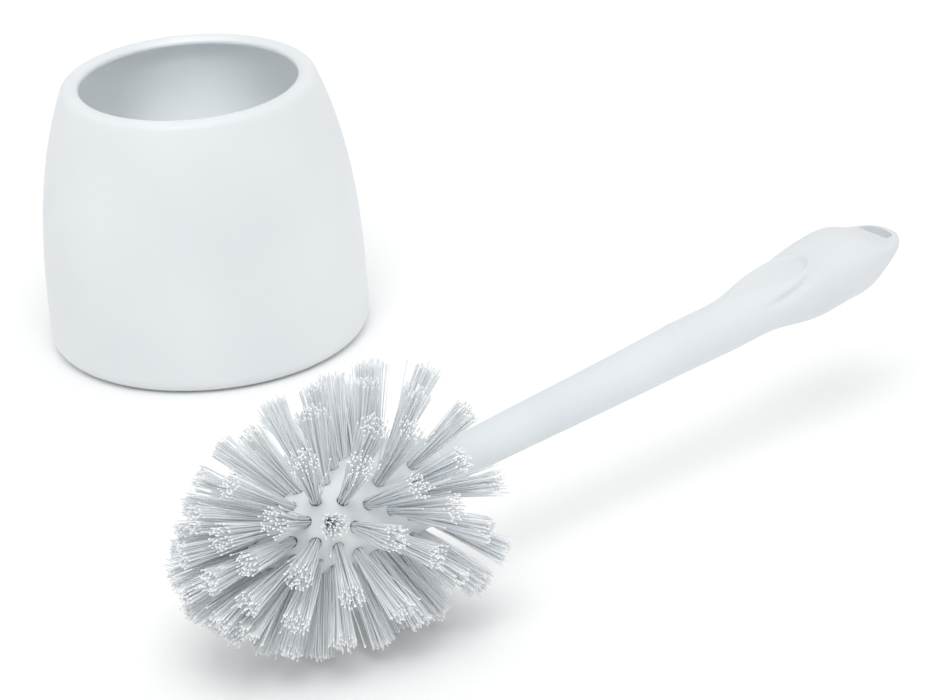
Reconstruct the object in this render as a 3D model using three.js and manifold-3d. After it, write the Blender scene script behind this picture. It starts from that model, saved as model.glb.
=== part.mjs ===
// Toilet brush holder with its brush: an open bell-shaped cup, and a round-headed
// brush lying beside it. Millimetres, +Z up. The origin is the centre of the
// cup's flat underside, and the brush's handle runs along +X in plan.

import * as THREE from 'three';
import { mergeVertices } from 'three/addons/utils/BufferGeometryUtils.js';
import Module from 'manifold-3d';

const wasm = await Module();
wasm.setup();

// ---- driving dimensions: cup ----
const cupHeight = 116.5;
const cupWidest = 137.4;        // diameter of the belly
const cupWidestHeight = 10;     // height above which the side draws in
const cupDraftBelow = 0.4;      // how far the side draws in below the belly
const cupFootRadius = 7.5;      // rounding between side and underside
const cupSideCurve = 2.8;       // power of the side's inward curve
const cupWall = 3;
const cupFloor = 3.5;
const rimOuter = 109.4;         // diameter outside the rounded rim
const mouth = 93;               // diameter of the opening
const rimMeetAngle = 22;        // where the side runs into the rim's rounding, degrees above level
const lipDrop = 1.8;            // how far the lip's inner edge lies below the rim's top
const lipEdge = 1.2;            // height of that inner edge
const lipUndercut = 5;          // height over which the lip's underside runs back to the wall

// ---- driving dimensions: head block ----
const blockWidest = 37;
const blockFront = 35;          // front tip ahead of the head's reference point
const blockRear = 50;           // rear face behind the reference point
const blockWidestAt = 18;       // where the ovoid front reaches its full width
const blockShoulder = 12;       // rounding at the rear
const blockRearFace = 19;       // diameter of the flat rear face
const socketDepth = 30;

// ---- driving dimensions: tufts ----
const tuftRoot = 4.4;
const tuftTip = 11;
const tuftLength = 32;          // free length outside the block
const tuftCrown = 1;            // doming of the cut end
const tuftSeat = 6;             // depth of a tuft in its hole
const tuftsInRow = 10;
const tuftsInFrontRing = 5;
const firstTuftAngle = 4;       // degrees about the handle's axis, from +Y
const frontRingBack = 4.5;      // from the block's tip to the front ring
const frontRingWall = 2.1;      // along the axis between the ring's tufts and the first row's
const rowWall = 3.8;            // along the axis between one row's tufts and the next
// lean of the ring and of each row from radial, in degrees, forward negative
const frontRingTilt = -79;
const rowTilts = [-66, -47, -25, -6, 7];

// ---- driving dimensions: handle ----
const shaftLength = 149.5;
const shaftWidthAtHead = 16.2;
const shaftHeightAtHead = 15;
const shaftWidthAtGrip = 22.2;
const shaftHeightAtGrip = 19.8;
const gripLength = 89.5;
const gripWidth = 36.6;
const gripHeight = 25.6;
const loopHeight = 10;          // thickness of the flat loop at the grip's end
const loopRise = 4.6;           // how far the loop's middle lies above the shaft's axis
const gripEndRound = 32.5;      // length over which the grip's end rounds off
const handleWall = 3;
const spigotWidth = 13;
const spigotWall = 2.2;
const dishLength = 50;
const dishWidth = 20;
const dishDepth = 2.6;
const dishAt = 17;              // middle of the thumb dish, from the start of the grip
const stopRidge = 1.2;          // height of the small ridge ahead of the grip
const ridgeAhead = 26;          // from that ridge to the start of the grip
const slotLength = 16.5;        // hang slot, across the grip
const slotWidth = 6.5;
const slotFromEnd = 4.2;        // material between the slot and the grip's end
const slotLead = 2.3;           // flat stretch of the loop ahead of the slot

// ---- fits and layout ----
const touchGap = 0.3;           // clearance wherever two pieces meet
const brushRise = 4;            // degrees the handle rises away from the head
const brushAside = 196.1;       // from the cup's side to the brush's axis
const headBack = 135.9;         // the head lies this far back from the cup's middle

const plastic = { color: 0xe8ecef, roughness: 0.42, metalness: 0 };
const blockPlastic = { color: 0xf1f5f6, roughness: 0.45, metalness: 0 };
const bristle = { color: 0xd6dade, roughness: 0.5, metalness: 0 };

const degrees = THREE.MathUtils.degToRad;

// ---- solids: joining and cutting ----

function solidOf(geometry) {
  const bare = geometry.index ? geometry.clone() : geometry;
  bare.deleteAttribute('normal');
  bare.deleteAttribute('uv');
  const merged = mergeVertices(bare, 1e-4);
  return new wasm.Manifold(new wasm.Mesh({
    numProp: 3,
    vertProperties: new Float32Array(merged.attributes.position.array),
    triVerts: new Uint32Array(merged.index.array),
  }));
}

function geometryOf(solid) {
  const mesh = solid.getMesh();
  const geometry = new THREE.BufferGeometry();
  const corners = new THREE.BufferAttribute(new Float32Array(mesh.vertProperties), mesh.numProp);
  geometry.setAttribute('position', corners);
  geometry.setIndex(new THREE.BufferAttribute(new Uint32Array(mesh.triVerts), 1));
  geometry.computeVertexNormals();
  return geometry;
}

function named(name, geometry, look) {
  const mesh = new THREE.Mesh(geometry, new THREE.MeshStandardMaterial(look));
  mesh.name = name;
  return mesh;
}

// a solid of revolution about +X; points are [place along X, radius]
function turnedAlongX(points, sides) {
  const profile = points.map(([along, radius]) => new THREE.Vector2(radius, along));
  return new THREE.LatheGeometry(profile, sides).rotateZ(-Math.PI / 2);
}

// places from start to end on a quarter circle, for round corners
function quarterArc(centre, radiusX, radiusY, fromAngle, toAngle, steps) {
  return Array.from({ length: steps + 1 }, (_, i) => {
    const angle = degrees(fromAngle + (toAngle - fromAngle) * i / steps);
    return [centre[0] + radiusX * Math.cos(angle), centre[1] + radiusY * Math.sin(angle)];
  });
}

// ---- the cup ----

const rimMiddle = (rimOuter + mouth) / 4;
const rimHalf = (rimOuter - mouth) / 4;
const sideTop = cupHeight - rimHalf + rimHalf * Math.sin(degrees(rimMeetAngle));
const sideTopRadius = rimMiddle + rimHalf * Math.cos(degrees(rimMeetAngle));

function cupOuterRadius(height) {
  const belly = cupWidest / 2;
  if (height < cupWidestHeight) {
    const below = (cupWidestHeight - height) / cupWidestHeight;
    return belly - cupDraftBelow * below * below;
  }
  const rise = (height - cupWidestHeight) / (sideTop - cupWidestHeight);
  return belly - (belly - sideTopRadius) * rise ** cupSideCurve;
}

function makeCup() {
  const sides = 48;
  const wallSteps = 9;
  const footSide = cupOuterRadius(cupFootRadius);
  const innerCorner = cupFootRadius - cupWall / 2;
  const insideFoot = cupFloor + innerCorner;
  const lipBottom = cupHeight - lipDrop - lipEdge;
  const insideTop = lipBottom - lipUndercut;
  const outside = [];
  const inside = [];
  for (let i = 1; i < wallSteps; i++) {
    const height = cupFootRadius + (sideTop - cupFootRadius) * i / wallSteps;
    outside.push([cupOuterRadius(height), height]);
  }
  for (let i = 0; i <= wallSteps; i++) {
    const height = insideTop + (insideFoot - insideTop) * i / wallSteps;
    inside.push([cupOuterRadius(height) - cupWall, height]);
  }
  const innerSide = cupOuterRadius(insideFoot) - cupWall;
  const profile = [
    [0, 0],
    ...quarterArc([footSide - cupFootRadius, cupFootRadius], cupFootRadius, cupFootRadius, -90, 0, 4),
    ...outside,
    ...quarterArc([rimMiddle, cupHeight - rimHalf], rimHalf, rimHalf, rimMeetAngle, 90, 3),
    ...quarterArc([rimMiddle, cupHeight - lipDrop], rimHalf, lipDrop, 90, 180, 3).slice(1),
    [mouth / 2, lipBottom],
    ...inside,
    ...quarterArc([innerSide - innerCorner, insideFoot], innerCorner, innerCorner, 0, -90, 3).slice(1),
    [0, cupFloor],
  ].map(([radius, height]) => new THREE.Vector2(radius, height));
  return new THREE.LatheGeometry(profile, sides).rotateX(Math.PI / 2);
}

// ---- the head block and its tufts, about an axis along +X ----

function blockRadius(along) {
  const full = blockWidest / 2;
  const shoulderStart = blockRear - blockShoulder;
  if (along < blockWidestAt) {
    const back = (blockWidestAt - along) / (blockWidestAt + blockFront);
    return full * Math.sqrt(Math.max(0, 1 - back * back));
  }
  if (along > shoulderStart) {
    const over = (along - shoulderStart) / blockShoulder;
    return blockRearFace / 2 + (full - blockRearFace / 2) * Math.sqrt(Math.max(0, 1 - over * over));
  }
  return full;
}

// the root place and outward direction of every tuft
function tuftPlaces() {
  const places = [{ name: 'tuft_tip', root: [-blockFront, 0], tilt: -90, angle: 0 }];
  const ringAt = frontRingBack - blockFront;
  const ringStep = 360 / tuftsInFrontRing;
  for (let i = 0; i < tuftsInFrontRing; i++) {
    const angle = firstTuftAngle + ringStep * i;
    const root = [ringAt, blockRadius(ringAt)];
    places.push({ name: `tuft_front_${i + 1}`, root, tilt: frontRingTilt, angle });
  }
  const step = 360 / tuftsInRow;
  const firstRow = ringAt + tuftRoot + frontRingWall;
  rowTilts.forEach((tilt, row) => {
    const at = firstRow + (tuftRoot + rowWall) * row;
    for (let i = 0; i < tuftsInRow; i++) {
      const angle = firstTuftAngle + step * (i + 0.5 * (row % 2));
      const name = `tuft_row${row + 1}_${String(i + 1).padStart(2, '0')}`;
      places.push({ name, root: [at, blockRadius(at)], tilt, angle });
    }
  });
  return places;
}

// puts a shape made along +X, from the bottom of a hole outwards, at a tuft's place
function atTuft(geometry, place, depth) {
  const lean = degrees(place.tilt);
  const turn = degrees(place.angle);
  const [along, radius] = place.root;
  const outward = new THREE.Matrix4().makeRotationZ(Math.PI / 2 - lean);
  const move = new THREE.Matrix4().makeTranslation(along, radius, 0);
  const sink = new THREE.Matrix4().makeTranslation(-depth, 0, 0);
  const round = new THREE.Matrix4().makeRotationX(turn);
  return geometry.applyMatrix4(round.multiply(move).multiply(outward).multiply(sink));
}

const tuftSides = 8;

function makeTuft(place) {
  const points = [
    [0, 0],
    [0, tuftRoot / 2],
    [tuftSeat, tuftRoot / 2],
    [tuftSeat + tuftLength - tuftCrown, tuftTip / 2],
    [tuftSeat + tuftLength, 0],
  ];
  return atTuft(turnedAlongX(points, tuftSides), place, tuftSeat);
}

function makeHole(place) {
  const radius = tuftRoot / 2 + touchGap;
  const overshoot = tuftSeat;
  const depth = tuftSeat + touchGap;
  const points = [[0, 0], [0, radius], [depth + overshoot, radius], [depth + overshoot, 0]];
  return atTuft(turnedAlongX(points, tuftSides), place, depth);
}

function makeBlock(places) {
  const sides = 30;
  const steps = 14;
  const points = [];
  const rearFace = blockRear;
  for (let i = 0; i <= steps; i++) {
    const along = -blockFront + (blockFront + rearFace) * (1 - Math.cos(Math.PI * i / steps)) / 2;
    points.push([along, blockRadius(along)]);
  }
  points.push([rearFace, 0]);
  let block = solidOf(turnedAlongX(points, sides));
  for (const place of places) {
    block = block.subtract(solidOf(makeHole(place)));
  }
  const socketRadius = spigotWidth / 2 + touchGap;
  const socketStart = rearFace - socketDepth;
  const socket = [
    [socketStart, 0],
    [socketStart, socketRadius],
    [rearFace + touchGap, socketRadius],
    [rearFace + touchGap, 0],
  ];
  return geometryOf(block.subtract(solidOf(turnedAlongX(socket, sides))));
}

// ---- the handle, about the same axis ----

const shaftStart = blockRear + touchGap;
const gripStart = shaftStart + shaftLength;
const handleEnd = gripStart + gripLength;

function shaftSection(part) {
  return [
    shaftStart + part * shaftLength,
    THREE.MathUtils.lerp(shaftWidthAtHead, shaftWidthAtGrip, part) / 2,
    THREE.MathUtils.lerp(shaftHeightAtHead, shaftHeightAtGrip, part) / 2,
    0,
    1,
  ];
}

function gripSection(part, width, height, rise, squareness) {
  const halfWidth = width * gripWidth / 2;
  const halfHeight = height * gripHeight / 2;
  return [gripStart + part * gripLength, halfWidth, halfHeight, rise * loopRise, squareness];
}

// place, half width, half height, rise of the middle, and squareness of the section:
// 1 is an oval and smaller powers are squarer. The shaft tapers in a straight line.
const loopStart = handleEnd - slotFromEnd - slotWidth - slotLead;
const handleSections = [
  ...[0, 0.35, 0.7, 0.92, 1].map(shaftSection),
  gripSection(0.2, 0.74, 0.87, 0.41, 0.97),
  gripSection(0.42, 0.91, 1, 0.28, 0.9),
  gripSection(0.58, 1, 0.955, 0.56, 0.85),
  gripSection(0.74, 0.96, 0.845, 0.72, 0.75),
  [loopStart, gripWidth / 2, loopHeight / 2, loopRise, 0.62],
  [handleEnd, gripWidth / 2, loopHeight / 2, loopRise, 0.6],
];

const handleShape = new THREE.CubicInterpolant(
  handleSections.map((section) => section[0]),
  handleSections.flatMap((section) => section.slice(1)),
  4,
  new Float64Array(4),
);

// the handle's outline, or the surface a given depth below it; it closes sooner
// in width than in height, so that the loop stays flat
function handleAt(along, depth, end) {
  const [halfWidth, halfHeight, rise, power] = handleShape.evaluate(along);
  const roundStart = end - gripEndRound + depth;
  const over = Math.min(1, Math.max(0, (along - roundStart) / (end - roundStart)));
  const y = (halfWidth - depth) * Math.sqrt(1 - over ** 2);
  const z = (halfHeight - depth) * Math.sqrt(1 - over ** 4);
  return { y, z, rise, power };
}

function squared(value, power) {
  return Math.sign(value) * Math.abs(value) ** power;
}

// a turned form whose round sections are stretched to the handle's ovals
function handleForm(start, end, depth, sides, shaftSteps, gripSteps) {
  const bend = end - gripEndRound + depth;
  const places = [];
  for (let i = 0; i < shaftSteps; i++) {
    places.push(start + (bend - start) * i / shaftSteps);
  }
  for (let i = 0; i <= gripSteps; i++) {
    places.push(bend + (end - bend) * Math.sin(Math.PI / 2 * i / gripSteps));
  }
  const closingPlace = places.length - 1;
  const profile = [[start, 0], ...places.map((along, i) => [along, i === closingPlace ? 0 : 1])];
  const form = turnedAlongX(profile, sides);
  const corners = form.attributes.position;
  for (let i = 0; i < corners.count; i++) {
    const section = handleAt(corners.getX(i), depth, end);
    corners.setY(i, squared(corners.getY(i), section.power) * section.y);
    corners.setZ(i, squared(corners.getZ(i), section.power) * section.z + section.rise);
  }
  return form;
}

function makeHandle() {
  const outer = solidOf(handleForm(shaftStart, handleEnd, 0, 24, 15, 7));

  const spigotFront = blockRear - socketDepth + touchGap;
  const spigotRadius = spigotWidth / 2;
  const spigotRoot = shaftStart + 2;
  const spigot = [[spigotFront, 0], [spigotFront, spigotRadius], [spigotRoot, spigotRadius], [spigotRoot, 0]];

  // the handle is a hollow moulding, open at the spigot and closed before the hang slot
  const hollowEnd = handleEnd - slotFromEnd - slotWidth - handleWall;
  const hollow = solidOf(handleForm(shaftStart + 1, hollowEnd, handleWall, 12, 8, 4));
  const boreRadius = spigotRadius - spigotWall;
  const boreEnd = shaftStart + 4;
  const bore = [
    [spigotFront - 1, 0],
    [spigotFront - 1, boreRadius],
    [boreEnd, boreRadius],
    [boreEnd, 0],
  ];

  const dish = new THREE.SphereGeometry(1, 20, 12);
  const dishMiddle = gripStart + dishAt;
  const dishSection = handleAt(dishMiddle, 0, handleEnd);
  const dishHalfHeight = 1.5 * dishDepth;
  const dishTop = dishSection.rise + dishSection.z - dishDepth + dishHalfHeight;
  dish.scale(dishLength / 2, dishWidth / 2, dishHalfHeight);
  dish.translate(dishMiddle, 0, dishTop);

  const ridgeAt = gripStart - ridgeAhead;
  const ridgeSection = handleAt(ridgeAt, 0, handleEnd);
  const ridge = new THREE.SphereGeometry(1, 12, 8);
  ridge.scale(3, 0.5 * ridgeSection.y, 2 * stopRidge);
  ridge.translate(ridgeAt, 0, ridgeSection.z - stopRidge);

  return geometryOf(
    outer
      .add(solidOf(turnedAlongX(spigot, 24)))
      .add(solidOf(ridge))
      .subtract(hollow)
      .subtract(solidOf(turnedAlongX(bore, 12)))
      .subtract(solidOf(dish))
      .subtract(solidOf(makeHangSlot())),
  );
}

// a slot across the grip: straight towards the shaft, curved along the grip's end
function makeHangSlot() {
  const slotEnd = handleEnd - slotFromEnd;
  const half = slotLength / 2;
  const corner = slotWidth / 4;
  const outline = new THREE.Shape();
  outline.moveTo(slotEnd - slotWidth + corner, -half);
  outline.quadraticCurveTo(slotEnd, -half, slotEnd, 0);
  outline.quadraticCurveTo(slotEnd, half, slotEnd - slotWidth + corner, half);
  outline.quadraticCurveTo(slotEnd - slotWidth, half, slotEnd - slotWidth, half - corner);
  outline.lineTo(slotEnd - slotWidth, corner - half);
  outline.quadraticCurveTo(slotEnd - slotWidth, -half, slotEnd - slotWidth + corner, -half);
  const slot = new THREE.ExtrudeGeometry(outline, {
    depth: 2 * gripHeight,
    bevelEnabled: false,
    curveSegments: 4,
  });
  return slot.translate(0, 0, -gripHeight);
}

// ---- assembly ----

const places = tuftPlaces();
const brush = new THREE.Group();
brush.add(named('brush_handle', makeHandle(), plastic));
brush.add(named('head_block', makeBlock(places), blockPlastic));
for (const place of places) {
  brush.add(named(place.name, makeTuft(place), bristle));
}
brush.rotation.y = -degrees(brushRise);
brush.position.set(-headBack, -(cupWidest / 2 + brushAside), 0);
brush.updateMatrixWorld(true);
brush.position.z = -new THREE.Box3().setFromObject(brush, true).min.z;  // the tufts rest on the floor

const model = new THREE.Group();
model.add(named('holder_cup', makeCup(), plastic));
model.add(brush);
model.updateMatrixWorld(true);

export default model;
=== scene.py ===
import math
import random

import bpy
import numpy as np
from mathutils import Matrix, Vector


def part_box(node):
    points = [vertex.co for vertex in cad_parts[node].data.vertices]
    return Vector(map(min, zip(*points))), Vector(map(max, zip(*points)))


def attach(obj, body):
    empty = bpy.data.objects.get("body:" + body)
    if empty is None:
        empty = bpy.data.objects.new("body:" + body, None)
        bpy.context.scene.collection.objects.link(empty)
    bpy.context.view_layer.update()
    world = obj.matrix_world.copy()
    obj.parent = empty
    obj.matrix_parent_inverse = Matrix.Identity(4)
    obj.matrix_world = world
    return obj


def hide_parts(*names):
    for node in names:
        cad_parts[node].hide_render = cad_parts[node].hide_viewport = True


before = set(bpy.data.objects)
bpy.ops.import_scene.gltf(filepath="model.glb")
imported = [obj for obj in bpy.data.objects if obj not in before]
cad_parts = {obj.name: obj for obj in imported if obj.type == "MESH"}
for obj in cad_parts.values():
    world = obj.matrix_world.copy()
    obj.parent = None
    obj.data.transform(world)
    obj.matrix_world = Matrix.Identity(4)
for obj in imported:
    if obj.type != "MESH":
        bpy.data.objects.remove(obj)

mm = 0.001
scene = bpy.context.scene
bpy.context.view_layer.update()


# the viewpoint: above and to the left of the brush, looking across it to the cup
cameraView = {
    "azimuth": -37.6,
    "elevation": 24.53,
    "roll": -3.97,
    "aim": Vector((0.070, -0.0907, -0.0052)),
    "distance": 1.918,
    "lens": 172.15,
    "sensor": 36,
    "farthest": 50,
}


def makeCamera(values):
    turn = math.radians(values["azimuth"])
    rise = math.radians(values["elevation"])
    back = Vector((math.sin(turn) * math.cos(rise), -math.cos(turn) * math.cos(rise), math.sin(rise)))
    data = bpy.data.cameras.new("studioCamera")
    data.lens = values["lens"]
    data.sensor_width = values["sensor"]
    data.clip_end = values["farthest"]
    camera = bpy.data.objects.new("studioCamera", data)
    scene.collection.objects.link(camera)
    level = back.to_track_quat("Z", "Y").to_matrix().to_4x4()
    rolled = level @ Matrix.Rotation(math.radians(values["roll"]), 4, "Z")
    camera.matrix_world = Matrix.Translation(values["aim"] + back * values["distance"]) @ rolled
    scene.camera = camera


makeCamera(cameraView)
print("camera placed")


def linearColour(hexText):
    channels = [int(hexText[i:i + 2], 16) / 255 for i in (1, 3, 5)]
    return [c / 12.92 if c <= 0.04045 else ((c + 0.055) / 1.055) ** 2.4 for c in channels] + [1]


# adds one node, sets its values by name and joins its inputs to other nodes' outputs
def addNode(tree, kind, settings=None, links=None):
    node = tree.nodes.new(kind)
    for name, value in (settings or {}).items():
        if name in node.inputs:
            node.inputs[name].default_value = value
        else:
            setattr(node, name, value)
    for name, output in (links or {}).items():
        tree.links.new(output, node.inputs[name])
    return node


def newMaterial(name):
    material = bpy.data.materials.new(name)
    material.use_nodes = True
    material.node_tree.nodes.clear()
    return material, material.node_tree


def rampStops(node, stops):
    ramp = node.color_ramp
    while len(ramp.elements) > len(stops):
        ramp.elements.remove(ramp.elements[-1])
    while len(ramp.elements) < len(stops):
        ramp.elements.new(1)
    for element, (place, colour) in zip(ramp.elements, stops):
        element.position = place
        element.color = linearColour(colour)


# Injection-moulded polypropylene: a waxy satin skin, a little light scattering below it,
# faint clouding from the melt's flow and a very fine orange-peel from the mould.
def mouldedPolypropylene(name, values):
    material, tree = newMaterial(name)
    place = addNode(tree, "ShaderNodeTexCoord")
    clouds = addNode(tree, "ShaderNodeTexNoise",
                     {"Scale": 1 / (values["cloudSize"] * mm), "Detail": 2.0, "Roughness": 0.4},
                     {"Vector": place.outputs["Object"]})
    tone = addNode(tree, "ShaderNodeValToRGB", {}, {"Fac": clouds.outputs["Fac"]})
    rampStops(tone, [(0.3, values["shade"]), (0.7, values["light"])])
    peel = addNode(tree, "ShaderNodeTexNoise",
                   {"Scale": 1 / (values["peelSize"] * mm), "Detail": 3.0, "Roughness": 0.55},
                   {"Vector": place.outputs["Object"]})
    rubbed = addNode(tree, "ShaderNodeMapRange",
                     {"To Min": values["roughness"] - 0.05, "To Max": values["roughness"] + 0.05},
                     {"Value": peel.outputs["Fac"]})
    bump = addNode(tree, "ShaderNodeBump", {"Strength": 0.25, "Distance": values["peelDepth"] * mm},
                   {"Height": peel.outputs["Fac"]})
    skin = addNode(tree, "ShaderNodeBsdfPrincipled",
                   {"IOR": 1.49, "Subsurface Weight": values["scatter"],
                    "Subsurface Scale": values["scatterDepth"] * mm,
                    "Subsurface Radius": (1.0, 0.97, 0.93)},
                   {"Base Color": tone.outputs["Color"], "Roughness": rubbed.outputs["Result"],
                    "Normal": bump.outputs["Normal"]})
    addNode(tree, "ShaderNodeOutputMaterial", {}, {"Surface": skin.outputs["BSDF"]})
    return material


# Polypropylene monofilament: smooth drawn strands, each a slightly different silver grey,
# with a duller, shaded root and a cut end painted near-white: painted light for the light it lets out.
def bristleMonofilament(name, values):
    material, tree = newMaterial(name)
    tint = addNode(tree, "ShaderNodeAttribute", {"attribute_name": "strandTint"})
    along = addNode(tree, "ShaderNodeAttribute", {"attribute_name": "alongStrand"})
    tone = addNode(tree, "ShaderNodeValToRGB", {}, {"Fac": tint.outputs["Fac"]})
    rampStops(tone, values["tones"])
    # painted light: over the last 3% of each strand the colour is mixed to near-white, for the light let
    # out at the cut end
    paintedEndLight = addNode(tree, "ShaderNodeMapRange",
                    {"From Min": values["paleFrom"], "From Max": 1.0, "To Max": 1.0},
                    {"Value": along.outputs["Fac"]})
    colour = addNode(tree, "ShaderNodeMix", {"data_type": "RGBA"}, {})
    tree.links.new(paintedEndLight.outputs["Result"], colour.inputs["Factor"])
    tree.links.new(tone.outputs["Color"], colour.inputs[6])
    colour.inputs[7].default_value = linearColour(values["cutEndPaintedLight"])
    strand = addNode(tree, "ShaderNodeBsdfPrincipled",
                     {"IOR": 1.49, "Roughness": values["roughness"]},
                     {"Base Color": colour.outputs[2]})
    addNode(tree, "ShaderNodeOutputMaterial", {}, {"Surface": strand.outputs["BSDF"]})
    return material


def meshObject(name, vertices, faces, material, smooth=True):
    mesh = bpy.data.meshes.new(name)
    mesh.from_pydata([tuple(v) for v in vertices], [], faces)
    mesh.materials.append(material)
    if smooth:
        mesh.shade_smooth()
    mesh.update()
    piece = bpy.data.objects.new(name, mesh)
    scene.collection.objects.link(piece)
    return piece


# rings of equal size joined by quads, with the first and last ring closed by a point
def ringSkin(rings, firstPoint, lastPoint):
    sides = len(rings[0])
    vertices = [firstPoint] + [v for ring in rings for v in ring] + [lastPoint]
    faces = []
    for i in range(sides):
        j = (i + 1) % sides
        faces.append((0, 1 + j, 1 + i))
        for k in range(len(rings) - 1):
            low, high = 1 + k * sides, 1 + (k + 1) * sides
            faces.append((low + i, low + j, high + j, high + i))
        last = 1 + (len(rings) - 1) * sides
        faces.append((last + i, last + j, len(vertices) - 1))
    return vertices, faces


def cutWith(piece, cutters):
    for cutter in cutters:
        modifier = piece.modifiers.new("cut", "BOOLEAN")
        modifier.operation = "DIFFERENCE"
        modifier.solver = "EXACT"
        modifier.use_self = True  # the drills' wide ends run into one another above the surface
        modifier.object = cutter
    bpy.context.view_layer.update()
    shaped = bpy.data.meshes.new_from_object(piece.evaluated_get(bpy.context.evaluated_depsgraph_get()))
    piece.modifiers.clear()
    old = piece.data
    piece.data = shaped
    bpy.data.meshes.remove(old)
    for cutter in cutters:
        bpy.data.objects.remove(cutter)


def smoothByAngle(piece, angle):
    piece.data.shade_smooth()
    piece.data.set_sharp_from_angle(angle=math.radians(angle))


# points on an arc whose radii across and up may differ
def arc(centre, radii, start, end, steps):
    angles = [math.radians(start + (end - start) * i / steps) for i in range(steps + 1)]
    return [(centre[0] + radii[0] * math.cos(a), centre[1] + radii[1] * math.sin(a)) for a in angles]


# the cup, in millimetres about its own axis; its overall size comes from the CAD cup
cupValues = {
    "widestHeight": 10,
    "draftBelow": 0.4,
    "footRadius": 7.5,
    "sideCurve": 2.8,
    "wall": 3,
    "floor": 3.5,
    "rimOuter": 109.4,
    "mouth": 93,
    "meetAngle": 22,
    "lipDrop": 1.8,
    "lipEdge": 1.2,
    "lipRound": 0.6,
    "undercut": 5,
    "underLipPull": 0.4,
    "wallSteps": 44,
    "sides": 192,
    "shade": "#dadee1",
    "light": "#e0e4e6",
    "cloudSize": 60,
    "peelSize": 0.9,
    "peelDepth": 0.02,
    "roughness": 0.42,
    "scatter": 0.6,
    "scatterDepth": 6,
}


def makeCup(values):
    low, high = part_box("holder_cup")
    belly = (high.y - low.y) / mm / 2
    height = (high.z - low.z) / mm
    mouth = values["mouth"] / 2
    rimMiddle = (values["rimOuter"] / 2 + mouth) / 2
    rimHalf = (values["rimOuter"] / 2 - mouth) / 2
    meet = math.radians(values["meetAngle"])
    sideTop = height - rimHalf + rimHalf * math.sin(meet)
    sideTopRadius = rimMiddle + rimHalf * math.cos(meet)
    foot = values["footRadius"]

    def outerRadius(z):
        if z < values["widestHeight"]:
            return belly - values["draftBelow"] * (1 - z / values["widestHeight"]) ** 2
        rise = (z - values["widestHeight"]) / (sideTop - values["widestHeight"])
        return belly - (belly - sideTopRadius) * rise ** values["sideCurve"]

    wallSteps = values["wallSteps"]
    innerCorner = foot - values["wall"] / 2
    insideFoot = values["floor"] + innerCorner
    lipSide = height - values["lipDrop"]
    lipBottom = lipSide - values["lipEdge"]
    insideTop = lipBottom - values["undercut"]
    profile = arc((outerRadius(foot) - foot, foot), (foot, foot), -90, 0, 10)
    for i in range(1, wallSteps):
        z = foot + (sideTop - foot) * i / wallSteps
        profile.append((outerRadius(z), z))
    profile += arc((rimMiddle, height - rimHalf), (rimHalf, rimHalf), values["meetAngle"], 90, 14)
    profile += arc((rimMiddle, lipSide), (rimHalf, values["lipDrop"]), 90, 180, 14)[1:]
    small = values["lipRound"]
    profile += arc((mouth + small, lipBottom + small), (small, small), 180, 270, 5)
    innerWall = []
    for z in np.linspace(insideTop, insideFoot, wallSteps):
        innerWall.append((outerRadius(z) - values["wall"], z))
    # the lip's underside runs out level and then turns down into the wall in one soft curve
    start, end = Vector(profile[-1]), Vector(innerWall[0])
    pull = Vector((end.x - values["underLipPull"], start.y - values["underLipPull"]))
    for t in np.linspace(0.1, 0.9, 12):
        profile.append(tuple(start * (1 - t) ** 2 + pull * 2 * t * (1 - t) + end * t ** 2))
    profile += innerWall
    corner = outerRadius(insideFoot) - values["wall"] - innerCorner
    profile += arc((corner, insideFoot), (innerCorner, innerCorner), 0, -90, 8)[1:]
    sides = values["sides"]
    turns = [2 * math.pi * i / sides for i in range(sides)]
    rings = [[Vector((r * math.cos(t), r * math.sin(t), z)) * mm for t in turns] for r, z in profile]
    vertices, faces = ringSkin(rings, Vector((0, 0, 0)), Vector((0, 0, values["floor"])) * mm)
    cup = meshObject("holderCup", vertices, faces,
                     mouldedPolypropylene("injectionMouldedPolypropyleneCup", values))
    smoothByAngle(cup, 50)
    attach(cup, "holder")
    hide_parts("holder_cup")


makeCup(cupValues)
print("cup made")


# The brush's own axis: a point and a direction found from the tuft that stands on the
# head's tip, and axes across it. Places below are millimetres along, aside and above.
def brushAxes(reach):
    corners = [v.co.copy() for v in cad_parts["tuft_tip"].data.vertices]
    apex = min(corners, key=lambda corner: corner.x)
    middle = sum(corners, Vector()) / len(corners)
    ahead = (middle - apex).normalized()
    aside = Vector((0, 0, 1)).cross(ahead).normalized()
    above = ahead.cross(aside)
    origin = apex + ahead * reach * mm
    return Matrix((
        (ahead.x * mm, aside.x * mm, above.x * mm, origin.x),
        (ahead.y * mm, aside.y * mm, above.y * mm, origin.y),
        (ahead.z * mm, aside.z * mm, above.z * mm, origin.z),
        (0, 0, 0, 1),
    ))


blockValues = {
    "widest": 37,
    "front": 35,
    "rear": 50,
    "widestAt": 18,
    "shoulder": 12,
    "rearFace": 19,
    "socket": 13.6,
    "socketDepth": 30,
    "socketSides": 64,
    "socketTurn": 1.4,  # keeps the socket's edges off the block's own
    "drillSides": 18,
    "sides": 128,
    "steps": 90,
    "shade": "#e2e6e8",
    "light": "#e9edee",
    "cloudSize": 25,
    "peelSize": 0.7,
    "peelDepth": 0.02,
    "roughness": 0.45,
    "scatter": 0.25,
    "scatterDepth": 4,
}

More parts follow.
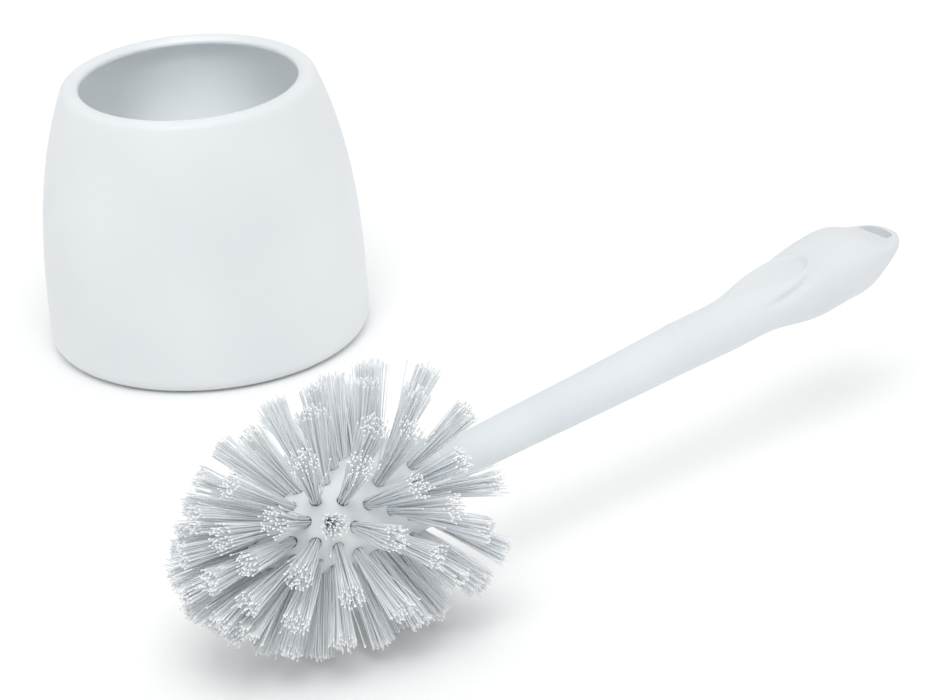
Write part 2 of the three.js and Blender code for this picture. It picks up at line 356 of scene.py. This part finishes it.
tuftValues = {
    "root": 4.4,
    "tip": 10.8,
    "length": 32,
    "seat": 6,
    "holeGap": 0.02,
    "holeRound": 0.2,
    "inRow": 10,
    "inFrontRing": 5,
    "firstAngle": 4,
    "ringBack": 4.5,
    "ringWall": 2.1,
    "rowWall": 3.8,
    "ringTilt": -79,
    "rowTilts": [-66, -47, -25, -6, 7, 14, 22, 30],
    "strands": 58,
    "strandWidth": 0.42,
    "strandCorners": 4,
    "lengthSpread": 0.024,
    "crown": 0.03,
    "fanPower": 1.1,
    "bow": 0.35,
    "straggle": 0.42,
    "strays": 0.09,
    "strayTimes": 6,
    "spinJitter": 0.25,
    "leanJitter": 3,
    "fanSpread": 0.12,
    "tipTuftFan": 0.66,
    "tipTuftStrands": 80,
    "seed": 7,
    "tones": [(0.0, "#dfe5ea"), (0.25, "#eaeff3"), (0.6, "#f3f6f8"), (1.0, "#fbfcfd")],
    # near-white painted light on the cut ends, for the light the strands let out there
    "cutEndPaintedLight": "#fdfdfd",
    "bead": 1.65,
    "floorGap": 0.1,
    "paleFrom": 0.97,
    "roughness": 0.38,
}

brush = brushAxes(blockValues["front"] + tuftValues["length"])


def blockRadius(along, values):
    full = values["widest"] / 2
    shoulderStart = values["rear"] - values["shoulder"]
    if along < values["widestAt"]:
        back = (values["widestAt"] - along) / (values["widestAt"] + values["front"])
        return full * math.sqrt(max(0, 1 - back * back))
    if along > shoulderStart:
        over = (along - shoulderStart) / values["shoulder"]
        neck = values["rearFace"] / 2
        return neck + (full - neck) * math.sqrt(max(0, 1 - over * over))
    return full


# the place, direction and CAD node of every tuft; the last rows have no node
def tuftPlaces(values):
    places = [("tuftTip", -blockValues["front"], -90, 0, "tuft_tip")]
    ringAt = values["ringBack"] - blockValues["front"]
    for i in range(values["inFrontRing"]):
        angle = values["firstAngle"] + 360 * i / values["inFrontRing"]
        places.append((f"tuftFront{i + 1}", ringAt, values["ringTilt"], angle, f"tuft_front_{i + 1}"))
    for row, tilt in enumerate(values["rowTilts"]):
        at = ringAt + values["root"] + values["ringWall"] + (values["root"] + values["rowWall"]) * row
        for i in range(values["inRow"]):
            angle = values["firstAngle"] + 360 * (i + 0.5 * (row % 2)) / values["inRow"]
            node = f"tuft_row{row + 1}_{i + 1:02d}"
            places.append((f"tuftRow{row + 1}n{i + 1:02d}", at, tilt, angle, node))
    return places


# axes with X out along a tuft and the origin where it leaves the block
def tuftAxes(at, tilt, angle):
    radius = 0 if tilt == -90 else blockRadius(at, blockValues)
    turn = Matrix.Rotation(math.radians(angle), 4, "X")
    lean = Matrix.Rotation(math.radians(90 - tilt), 4, "Z")
    return turn @ Matrix.Translation((at, radius, 0)) @ lean


def turnedAlongX(name, profile, sides, axes, material):
    turns = [2 * math.pi * i / sides for i in range(sides)]
    rings = [[axes @ Vector((x, r * math.cos(t), r * math.sin(t))) for t in turns] for x, r in profile]
    first = axes @ Vector((profile[0][0], 0, 0))
    last = axes @ Vector((profile[-1][0], 0, 0))
    vertices, faces = ringSkin(rings, first, last)
    return meshObject(name, vertices, faces, material)


def makeBlock(values, places):
    material = mouldedPolypropylene("injectionMouldedPolypropyleneBlock", values)
    steps, span = values["steps"], values["front"] + values["rear"]
    profile = []
    for i in range(1, steps + 1):
        x = -values["front"] + span * (1 - math.cos(math.pi * i / steps)) / 2
        profile.append((x, max(blockRadius(x, values), 0.05)))
    block = turnedAlongX("headBlock", profile, values["sides"], brush, material)
    hole = tuftValues["root"] / 2 + tuftValues["holeGap"]
    eased = hole + tuftValues["holeRound"]
    # each hole has a small lead-in where its edge is rounded
    drill = [(-tuftValues["seat"], hole), (-0.6, hole), (-0.1, (2 * hole + eased) / 3),
             (0.25, eased), (4, eased)]
    cutters = []
    for name, at, tilt, angle, node in places:
        axes = brush @ tuftAxes(at, tilt, angle)
        cutters.append(turnedAlongX("drill", drill, values["drillSides"], axes, material))
    drills = joined("drills", cutters)
    socketRadius = values["socket"] / 2
    socket = [(values["rear"] - values["socketDepth"], socketRadius), (values["rear"] + 1, socketRadius)]
    turned = brush @ Matrix.Rotation(math.radians(values["socketTurn"]), 4, "X")
    cutWith(block, [drills, turnedAlongX("socket", socket, values["socketSides"], turned, material)])
    smoothByAngle(block, 40)
    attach(block, "brush")
    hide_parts("head_block")


def joined(name, objects):
    vertices, faces = [], []
    for part in objects:
        start = len(vertices)
        vertices += [v.co.copy() for v in part.data.vertices]
        faces += [[start + i for i in face.vertices] for face in part.data.polygons]
    together = meshObject(name, vertices, faces, objects[0].data.materials[0])
    for part in objects:
        bpy.data.objects.remove(part)
    return together


places = tuftPlaces(tuftValues)
makeBlock(blockValues, places)
print("head block made")


goldenAngle = 2.399963  # turning each strand by this packs them evenly


# one tuft: many thin strands packed round at the root and fanning out to a cut end
def makeTuft(values, place, material, draw):
    name, at, tilt, angle, node = place
    nudge = Matrix.Rotation(math.radians(draw.gauss(0, values["leanJitter"])), 4, "Z")
    sway = Matrix.Rotation(math.radians(draw.gauss(0, values["leanJitter"])), 4, "Y")
    axes = brush @ tuftAxes(at, tilt, angle) @ nudge @ sway
    rootReach = (values["root"] - values["strandWidth"]) / 2
    fanned = draw.uniform(1 - values["fanSpread"], 1 + values["fanSpread"])
    if tilt == -90:
        fanned *= values["tipTuftFan"]
    tipReach = fanned * (values["tip"] - values["strandWidth"]) / 2
    # place along the strand and thickness: the shears leave a small swollen bead at the cut
    bead = values["bead"]
    steps = [(-0.06, 1), (0.0, 1), (0.25, 1), (0.5, 1), (0.75, 1), (0.968, 1),
             (0.978, bead), (1.0, bead)]
    count = values["tipTuftStrands"] if tilt == -90 else values["strands"]
    corners = values["strandCorners"]
    vertices, faces, tints, alongs = [], [], [], []
    for strand in range(count):
        share = math.sqrt((strand + 0.5) / count)
        spin = strand * goldenAngle + draw.uniform(-values["spinJitter"], values["spinJitter"])
        rootY, rootZ = rootReach * share * math.cos(spin), rootReach * share * math.sin(spin)
        straggle = values["straggle"] * (values["strayTimes"] if draw.random() < values["strays"] else 1)
        tipY = tipReach * share * math.cos(spin) + draw.gauss(0, straggle)
        tipZ = tipReach * share * math.sin(spin) + draw.gauss(0, straggle)
        bowY, bowZ = draw.gauss(0, values["bow"]), draw.gauss(0, values["bow"])
        crown = values["crown"] * share * share
        length = values["length"] * (1 - crown + draw.gauss(0, values["lengthSpread"]))
        half = values["strandWidth"] / 2
        twist = draw.uniform(0, math.pi / 2)
        tint = draw.random()
        start = len(vertices)
        for t, swell in steps:
            fan = max(t, 0) ** values["fanPower"]
            bow = 4 * max(t, 0) * (1 - t)
            y = rootY + (tipY - rootY) * fan + bowY * bow
            z = rootZ + (tipZ - rootZ) * fan + bowZ * bow
            for corner in range(corners):
                a = twist + 2 * math.pi * corner / corners
                acrossY, acrossZ = half * swell * math.cos(a), half * swell * math.sin(a)
                point = axes @ Vector((length * t, y + acrossY, z + acrossZ))
                point.z = max(point.z, values["floorGap"] * mm)  # strands that reach the floor lie on it
                vertices.append(point)
                tints.append(tint)
                alongs.append(max(t, 0))
        for ring in range(len(steps) - 1):
            low, high = start + ring * corners, start + (ring + 1) * corners
            for i in range(corners):
                j = (i + 1) % corners
                faces.append((low + i, low + j, high + j, high + i))
        end = start + (len(steps) - 1) * corners
        faces.append(tuple(start + i for i in reversed(range(corners))))
        faces.append(tuple(end + i for i in range(corners)))
    tuft = meshObject(name, vertices, faces, material)
    tuft.data.attributes.new("strandTint", "FLOAT", "POINT").data.foreach_set("value", tints)
    tuft.data.attributes.new("alongStrand", "FLOAT", "POINT").data.foreach_set("value", alongs)
    smoothByAngle(tuft, 60)
    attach(tuft, "brush")
    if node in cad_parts:
        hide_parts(node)


def makeTufts(values):
    draw = random.Random(values["seed"])
    material = bristleMonofilament("drawnPolypropyleneMonofilament", values)
    for place in places:
        makeTuft(values, place, material, draw)


makeTufts(tuftValues)
print("tufts made")


handleValues = {
    "gap": 0.3,
    "shaft": 149.5,
    "shaftAtHead": (16.2, 15),
    "shaftAtGrip": (22.2, 19.8),
    "grip": 89.5,
    "gripWidth": 36.6,
    "gripHeight": 25.6,
    "loopHeight": 10,
    "loopRise": 4.6,
    "loopLead": 2.3,
    "endRound": 32.5,
    "spigot": 13,
    "spigotBevel": 0.6,
    "dishAt": 17,
    "dish": (50, 28),
    "dishFloor": 9.9,
    "dishSlope": 0.022,
    "dishWallHeight": 4.5,
    "dishCushion": 1.2,
    "dishBlend": 0.8,
    "crease": 1.35,
    "creaseFrom": 14,
    "creaseSpan": 28,
    "creaseTurn": 65,
    "creaseWidth": 0.11,
    "creaseFade": (8, 14),
    "ridgeAhead": 26,
    "ridge": 1.2,
    "ridgeLength": 2.2,
    "ridgeWidth": 0.55,
    "slot": (16.5, 6.5),
    "slotFromEnd": 4.2,
    "sides": 120,
    "shade": "#d6dade",
    "light": "#dbe0e3",
    "cloudSize": 45,
    "peelSize": 0.8,
    "peelDepth": 0.02,
    "roughness": 0.4,
    "scatter": 0.25,
    "scatterDepth": 4,
}


# a natural cubic spline through (place, value, value, ...) rows
def splineThrough(rows):
    x = np.array([row[0] for row in rows], float)
    y = np.array([row[1:] for row in rows], float)
    n, h = len(x), np.diff(x)
    system, right = np.eye(n), np.zeros_like(y)
    for i in range(1, n - 1):
        system[i, i - 1:i + 2] = h[i - 1], 2 * (h[i - 1] + h[i]), h[i]
        right[i] = 6 * ((y[i + 1] - y[i]) / h[i] - (y[i] - y[i - 1]) / h[i - 1])
    bend = np.linalg.solve(system, right)

    def at(place):
        i = int(np.clip(np.searchsorted(x, place) - 1, 0, n - 2))
        a, b = x[i + 1] - place, place - x[i]
        ends = (y[i] / h[i] - bend[i] * h[i] / 6) * a + (y[i + 1] / h[i] - bend[i + 1] * h[i] / 6) * b
        return ends + (bend[i] * a ** 3 + bend[i + 1] * b ** 3) / (6 * h[i])
    return at


def softMin(a, b, blend):
    h = max(blend - abs(a - b), 0) / blend
    return min(a, b) - h * h * blend / 4


def makeHandle(values):
    start = blockValues["rear"] + values["gap"]
    gripStart = start + values["shaft"]
    end = gripStart + values["grip"]
    wide, tall, rise = values["gripWidth"] / 2, values["gripHeight"] / 2, values["loopRise"]
    loopStart = end - values["slotFromEnd"] - values["slot"][1] - values["loopLead"]
    loopHalf = values["loopHeight"] / 2
    (headWide, headTall), (farWide, farTall) = values["shaftAtHead"], values["shaftAtGrip"]
    # place, half width, half height, rise and squareness; the shaft tapers in a straight line
    rows = []
    for part in (0, 0.35, 0.7, 0.92, 1):
        width, height = headWide + (farWide - headWide) * part, headTall + (farTall - headTall) * part
        rows.append((start + part * values["shaft"], width / 2, height / 2, 0, 1))
    rows += [
        (gripStart + 0.2 * values["grip"], 0.74 * wide, 0.87 * tall, 0.41 * rise, 0.97),
        (gripStart + 0.42 * values["grip"], 0.91 * wide, tall, 0.28 * rise, 0.9),
        (gripStart + 0.58 * values["grip"], wide, 0.955 * tall, 0.56 * rise, 0.85),
        (gripStart + 0.74 * values["grip"], 0.96 * wide, 0.845 * tall, 0.72 * rise, 0.75),
        (loopStart, wide, loopHalf, rise, 0.62),
        (end, wide, loopHalf, rise, 0.6),
    ]
    sections = splineThrough(rows)
    roundStart = end - values["endRound"]
    dishLength, dishWidth = values["dish"]
    dishMiddle = gripStart + values["dishAt"]
    ridgeAt = gripStart - values["ridgeAhead"]

    def squared(value, power):
        return math.copysign(abs(value) ** power, value)

    def surface(x, turn):
        halfWide, halfTall, lift, power = sections(x)
        over = min(1, max(0, (x - roundStart) / (end - roundStart)))
        y = halfWide * math.sqrt(1 - over ** 2) * squared(math.cos(turn), power)
        z = lift + halfTall * math.sqrt(1 - over ** 4) * squared(math.sin(turn), power)
        if math.sin(turn) > 0:
            inside = 1 - ((x - dishMiddle) / (dishLength / 2)) ** 2 - (y / (dishWidth / 2)) ** 2
            if inside > -0.6:
                bowl = math.copysign(math.sqrt(abs(inside)), inside)
                floor = values["dishFloor"] + values["dishSlope"] * (x - gripStart)
                # a low cushion in the middle leaves a groove at the foot of the dish's wall
                rising = values["dishWallHeight"] * (1 - bowl) ** 3 + values["dishCushion"] * bowl ** 2
                z = softMin(z, floor + rising, values["dishBlend"])
            beside = y / (values["ridgeWidth"] * halfWide)
            away = ((x - ridgeAt) / values["ridgeLength"]) ** 2 + beside ** 2
            z += values["ridge"] * math.exp(-away * 1.2)
            # a soft crease runs round the dish's far end and down both sides of the grip
            ahead = x - gripStart - values["creaseFrom"]
            fromTop = math.degrees(math.acos(min(1, math.sin(turn)))) / values["creaseTurn"]
            ring = math.hypot(max(0, ahead) / values["creaseSpan"], fromTop)
            fadeBack, fadeLength = values["creaseFade"]
            fade = min(1, max(0, (ahead + fadeBack) / fadeLength)) ** 2
            dent = math.exp(-((ring - 1) / values["creaseWidth"]) ** 2)
            shrink = 1 - fade * values["crease"] / halfTall * dent
            y, z = y * shrink, lift + (z - lift) * shrink
        return brush @ Vector((x, y, z))

    spigot, bevel = values["spigot"] / 2, values["spigotBevel"]
    spigotFront = blockValues["rear"] - blockValues["socketDepth"] + values["gap"]
    turns = [2 * math.pi * i / values["sides"] for i in range(values["sides"])]
    rings = []
    for x, radius in [(spigotFront, spigot - bevel), (spigotFront + bevel, spigot), (start, spigot)]:
        rings.append([brush @ Vector((x, radius * math.cos(t), radius * math.sin(t))) for t in turns])
    places = list(np.linspace(start, gripStart - 4, 90))
    places += list(np.linspace(gripStart - 3.5, roundStart, 110))
    places += [roundStart + (end - roundStart) * math.sin(math.pi / 2 * i / 60) for i in range(1, 60)]
    rings += [[surface(x, t) for t in turns] for x in places]
    first = brush @ Vector((spigotFront, 0, 0))
    vertices, faces = ringSkin(rings, first, surface(end, 0))
    material = mouldedPolypropylene("injectionMouldedPolypropyleneHandle", values)
    handle = meshObject("brushHandle", vertices, faces, material)
    cutWith(handle, [hangSlot(values, end, material)])
    smoothByAngle(handle, 42)
    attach(handle, "brush")
    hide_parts("brush_handle")


# the slot's cutter flares at both faces, so that the slot's edges come out rounded
def hangSlot(values, end, material):
    length, width = values["slot"]
    farSide = end - values["slotFromEnd"]
    middle = Vector((farSide - width / 2, 0))
    half, corner = length / 2, width / 4
    outline = []

    def curve(a, pull, b, steps):
        for i in range(steps):
            t = i / steps
            outline.append(Vector(a) * (1 - t) ** 2 + Vector(pull) * 2 * t * (1 - t) + Vector(b) * t * t)

    nearSide = farSide - width
    curve((nearSide + corner, -half), (farSide, -half), (farSide, 0), 14)
    curve((farSide, 0), (farSide, half), (nearSide + corner, half), 14)
    curve((nearSide + corner, half), (nearSide, half), (nearSide, half - corner), 8)
    curve((nearSide, half - corner), (nearSide, 0), (nearSide, corner - half), 10)
    curve((nearSide, corner - half), (nearSide, -half), (nearSide + corner, -half), 8)
    tall = values["loopHeight"] / 2
    # height and widening of the cutter, from below the loop to above it
    levels = [(-tall - 3, 1.36), (-tall + 0.4, 1.056), (-tall + 2.0, 1.0),
              (tall - 2.0, 1.0), (tall - 0.4, 1.056), (tall + 3, 1.36)]
    rings = []
    for z, scale in levels:
        ring = []
        for point in outline:
            spread = middle + (point - middle) * scale
            ring.append(brush @ Vector((spread.x, spread.y, values["loopRise"] + z)))
        rings.append(ring)
    low = brush @ Vector((middle.x, 0, values["loopRise"] + levels[0][0]))
    high = brush @ Vector((middle.x, 0, values["loopRise"] + levels[-1][0]))
    vertices, faces = ringSkin(rings, low, high)
    return meshObject("slotCutter", vertices, faces, material)


makeHandle(handleValues)
print("handle made")


# a pale floor and soft light from all round, brightest from the upper left
studioValues = {
    "floorSize": 12,
    "floor": "#fafbfb",
    "floorLight": "#fcfcfc",
    "sky": 0.79,
    "lamps": [
        ("keyPanel", (-0.85, -1.10, 2.2), 1.4, 21),
        ("fillPanel", (1.9, -1.2, 1.6), 2.4, 4),
        ("topPanel", (0, 0.6, 2.6), 2.4, 4),
    ],
    # two narrow lamps aimed at the cup's mouth, which light its inside
    "mouth": (0, 0, 0.1165),
    "cupLamps": [
        ("cupTopLamp", (0, 0, 1.3), 4.4, 62),
        ("cupSideLamp", (-0.51, -0.66, 1.11), 3.6, 54),
    ],
    "cupLampEdge": 0.9,
    "cupLampSize": 0.004,
}


def makeStudio(values):
    half = values["floorSize"] / 2
    material, tree = newMaterial("paintedStudioFloor")
    place = addNode(tree, "ShaderNodeTexCoord")
    cloud = addNode(tree, "ShaderNodeTexNoise", {"Scale": 3.0}, {"Vector": place.outputs["Object"]})
    tone = addNode(tree, "ShaderNodeValToRGB", {}, {"Fac": cloud.outputs["Fac"]})
    rampStops(tone, [(0.0, values["floor"]), (1.0, values["floorLight"])])
    paint = addNode(tree, "ShaderNodeBsdfPrincipled", {"Roughness": 0.9, "Specular IOR Level": 0.2},
                    {"Base Color": tone.outputs["Color"]})
    addNode(tree, "ShaderNodeOutputMaterial", {}, {"Surface": paint.outputs["BSDF"]})
    corners = [(-half, -half, 0), (half, -half, 0), (half, half, 0), (-half, half, 0)]
    floor = meshObject("studioFloor", corners, [(0, 1, 2, 3)], material, smooth=False)
    world = bpy.data.worlds.new("studioSky")
    world.use_nodes = True
    world.node_tree.nodes["Background"].inputs["Color"].default_value = (1, 1, 1, 1)
    world.node_tree.nodes["Background"].inputs["Strength"].default_value = values["sky"]
    scene.world = world
    for name, spot, size, power in values["lamps"]:
        light = bpy.data.lights.new(name, "AREA")
        light.size = size
        light.energy = power
        lamp = bpy.data.objects.new(name, light)
        lamp.location = spot
        lamp.rotation_euler = Vector(spot).to_track_quat("Z", "Y").to_euler()
        scene.collection.objects.link(lamp)
    for name, spot, angle, power in values["cupLamps"]:
        light = bpy.data.lights.new(name, "SPOT")
        light.spot_size = math.radians(angle)
        light.spot_blend = values["cupLampEdge"]
        light.shadow_soft_size = values["cupLampSize"]
        light.energy = power
        lamp = bpy.data.objects.new(name, light)
        lamp.location = spot
        aim = Vector(spot) - Vector(values["mouth"])
        lamp.rotation_euler = aim.to_track_quat("Z", "Y").to_euler()
        scene.collection.objects.link(lamp)


makeStudio(studioValues)
scene.view_settings.view_transform = "Standard"
print("studio made")

bpy.context.view_layer.update()
